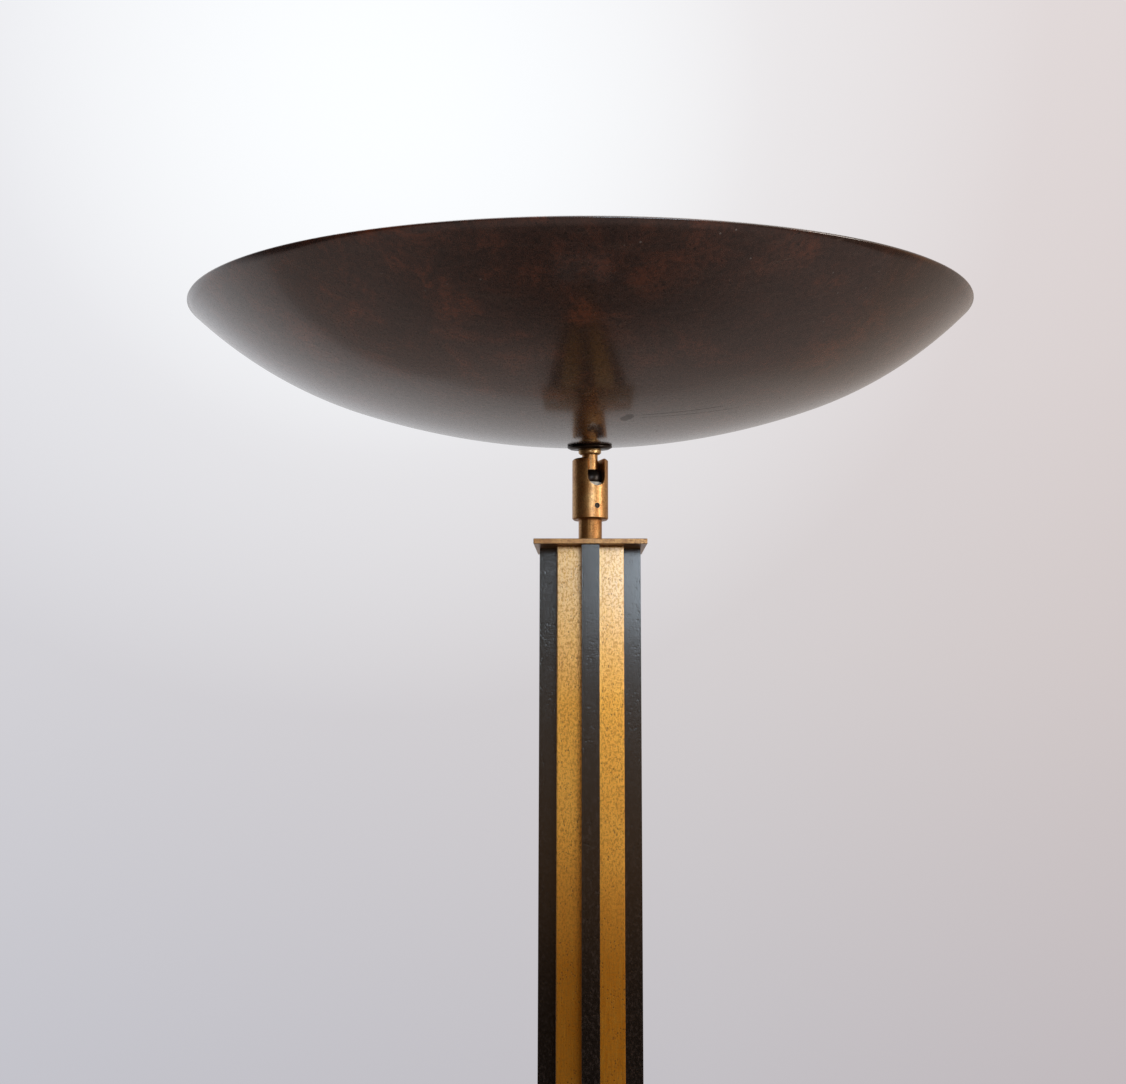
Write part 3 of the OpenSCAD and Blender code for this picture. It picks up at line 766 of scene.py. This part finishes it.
def make_floor():
    """A round pale floor whose edge fades into the background. Reflections see a painted, glowing dark warm
    floor in its place, in painted shade near the lamp.
    """
    look = Look("pale_floor")
    tone = look.noise(2.2, 3, 0.5)
    pale = look.ramp(tone, [(0.3, (0.62, 0.61, 0.6)), (0.7, (0.64, 0.63, 0.62))])
    look.set(Base_Color=pale, Roughness=0.7)
    look.set(Alpha=look.spread(look.radius(), *FLOOR_FADE, 1.0, 0.0))
    # painted reflection: reflections see a glowing dark, warm floor, darkest near the lamp as painted shade
    away = look.spread(look.radius(), *REFLECTED_FLOOR_SHADE_R)
    brown = look.ramp(away, [(0.0, (0.04, 0.022, 0.015)), (1.0, (0.25, 0.195, 0.175))])
    warm = look.add("ShaderNodeEmission")
    look.put(warm.inputs["Color"], brown)
    mirrored = look.add("ShaderNodeLightPath").outputs["Is Glossy Ray"]
    surface = look.mix_shaders(mirrored, look.surface.outputs[0], warm.outputs[0])
    look.put(look.output.inputs["Surface"], surface)
    bm = bmesh.new()
    bmesh.ops.create_circle(bm, cap_ends=True, segments=FLOOR_SEGMENTS, radius=FLOOR_R)
    mesh = bpy.data.meshes.new("floor")
    bm.to_mesh(mesh)
    bm.free()
    floor = bpy.data.objects.new("floor", mesh)
    bpy.context.scene.collection.objects.link(floor)
    mesh.materials.append(look.material)


def mirrored_room(sky):
    """The colours round the lamp: a warm dark room in front of it, and a pale wall behind it."""
    across, deep, up = sky.along("X"), sky.along("Y"), sky.along("Z")
    room_by_height = [
        (-1.0, (0.03, 0.018, 0.01)),
        (-0.45, (0.02, 0.012, 0.006)),
        (-0.27, (0.035, 0.016, 0.005)),
        (-0.19, (0.44, 0.22, 0.09)),
        (-0.06, (0.5, 0.32, 0.19)),
        (0.03, (0.46, 0.4, 0.34)),
        (0.4, (0.42, 0.42, 0.42)),
        (1.0, (0.6, 0.6, 0.6)),
    ]
    room_by_side = [
        (-1.0, (0.08, 0.06, 0.05)),
        (-0.5, (0.16, 0.12, 0.1)),
        (-0.12, (0.8, 0.8, 0.8)),
        (0.05, (1, 1, 1)),
        (0.4, (1.7, 1.6, 1.45)),
        (1.0, (1.2, 1.1, 1.0)),
    ]
    wall_by_height = [
        (-1.0, (0.03, 0.02, 0.013)),
        (-0.6, (0.3, 0.25, 0.23)),
        (-0.3, (0.44, 0.41, 0.4)),
        (-0.12, (0.5, 0.48, 0.48)),
        (0.0, (0.57, 0.56, 0.57)),
        (1.0, (0.8, 0.8, 0.8)),
    ]
    wall_by_side = [
        (-1.0, (1.25, 1.27, 1.3)),
        (-0.4, (1.12, 1.13, 1.15)),
        (0.0, (1, 1, 1)),
        (0.4, (0.74, 0.65, 0.58)),
        (1.0, (0.62, 0.52, 0.44)),
    ]
    room = sky.mix(1.0, sky.wide_ramp(up, room_by_height), sky.wide_ramp(across, room_by_side), "MULTIPLY")
    wall = sky.mix(1.0, sky.wide_ramp(up, wall_by_height), sky.wide_ramp(across, wall_by_side), "MULTIPLY")
    behind = sky.wide_ramp(deep, [(-1.0, 0), (0.15, 0), (0.45, 1), (1.0, 1)])
    return sky.mix(behind, room, wall)


def backdrop(sky):
    """The colours that the camera sees behind the lamp: pale, cooler on the left, with one soft painted pool
    of the lamp's uplight on the wall.
    """
    across, up = sky.along("X"), sky.along("Z")
    by_height = [
        (-0.35, (0.55, 0.54, 0.57)),
        (0.0, (0.67, 0.65, 0.66)),
        (0.25, (0.74, 0.72, 0.73)),
        (0.6, (0.8, 0.78, 0.79)),
    ]
    by_side = [(-0.5, (0.97, 0.99, 1.03)), (0.1, (0.99, 0.97, 0.97)), (0.5, (0.95, 0.88, 0.86))]
    pale = sky.mix(1.0, sky.wide_ramp(up, by_height), sky.wide_ramp(across, by_side), "MULTIPLY")
    aim = sky.dot(sky.where, Vector(UPLIGHT_POOL_TOWARDS).normalized())
    # painted light: the soft pool of the lamp's uplight on the wall behind it
    uplight_pool = sky.wide_ramp(aim, [(0.86, 0), (0.95, 0.3), (0.985, 0.8), (1.0, 1)])
    return sky.mix(uplight_pool, pale, (0.98, 1.0, 1.02))


def make_world():
    """The room that the lamp mirrors, and the soft backdrop that the camera sees behind it."""
    world = bpy.data.worlds.new("pale_room")
    bpy.context.scene.world = world
    world.use_nodes = True
    sky = Nodes(world.node_tree, "ShaderNodeOutputWorld", "Generated")
    around = sky.add("ShaderNodeBackground")
    sky.put(around.inputs["Color"], mirrored_room(sky))
    behind = sky.add("ShaderNodeBackground")
    sky.put(behind.inputs["Color"], backdrop(sky))
    seen = sky.add("ShaderNodeLightPath").outputs["Is Camera Ray"]
    sky.put(sky.output.inputs["Surface"], sky.mix_shaders(seen, around.outputs[0], behind.outputs[0]))


def add_light(name, at, towards, size, power, colour):
    """A soft rectangular light that faces a point."""
    light = bpy.data.lights.new(name, "AREA")
    light.shape = "RECTANGLE"
    light.size, light.size_y = size
    light.energy = power
    light.color = colour
    obj = bpy.data.objects.new(name, light)
    obj.location = at
    obj.rotation_mode = "QUATERNION"
    obj.rotation_quaternion = (Vector(towards) - Vector(at)).to_track_quat("-Z", "Y")
    bpy.context.scene.collection.objects.link(obj)


# ---------- assembly ----------

make_camera()
make_floor()
make_world()
for light in LIGHTS:
    add_light(*light)

brass = column_brass()
plate_brass = turned_brass("plate_brass", (0.45, 0.24, 0.085), (0.28, 0.13, 0.045), 0.09 * MM)
knuckle_brass = turned_brass("knuckle_brass", (0.7, 0.42, 0.16), (0.46, 0.19, 0.055), 0.09 * MM)
collar_brass = turned_brass("collar_brass", (0.86, 0.62, 0.3), (0.66, 0.4, 0.16), 0.03 * MM)
black = blackened_steel()
zinc = zinc_steel()
ceramic = porcelain()
sleeve = silicone()

paint(brass, "core_tube")
paint(plate_brass, "cap_plate", "foot_plate")
paint(knuckle_brass, "stem", "swivel_body", "neck_tube", "earth_screw", "contact_pins")
paint(blackened_bar(), *BARS)
paint(black, "swivel_ball", "grub_screw")
paint(zinc, "rod_washer", "rod_nut", "tie_rod", "foot_screws", "cap_screws", "spring_washer")
paint(zinc, "inner_washer", "inner_nut", "lamp_bracket", "bracket_screws", "lower_plug", "upper_plug")
paint(ceramic, "base_terminal", "head_terminal", "socket_left", "socket_right", "tube_ends")
paint(sleeve, "column_lead", "neck_lead")
paint(polished_sheet(), "reflector")
paint(nylon(), "ball_seat")
paint(cast_iron(), "base_weight")
paint(base_lacquer(), "base_cover")
paint(felt(), "base_underlay")
paint(rubber(), "cord_grommet")
paint(quartz(), "quartz_tube")

for bar in BARS:
    soften(bar, 0.35 * MM)
soften("core_tube", 0.6 * MM)
soften("cap_plate", 0.3 * MM)
soften("foot_plate", 0.3 * MM)
soften("stem", 0.15 * MM)
soften("grub_screw", 0.1 * MM)
soften("base_cover", 1.2 * MM, 4)
soften("lamp_bracket", 0.3 * MM)

make_dish(dish_lacquer(), dish_inside())
make_collar(collar_brass)
make_washer(black)
make_filament(hot_wire())

bpy.context.scene.view_settings.view_transform = "Standard"
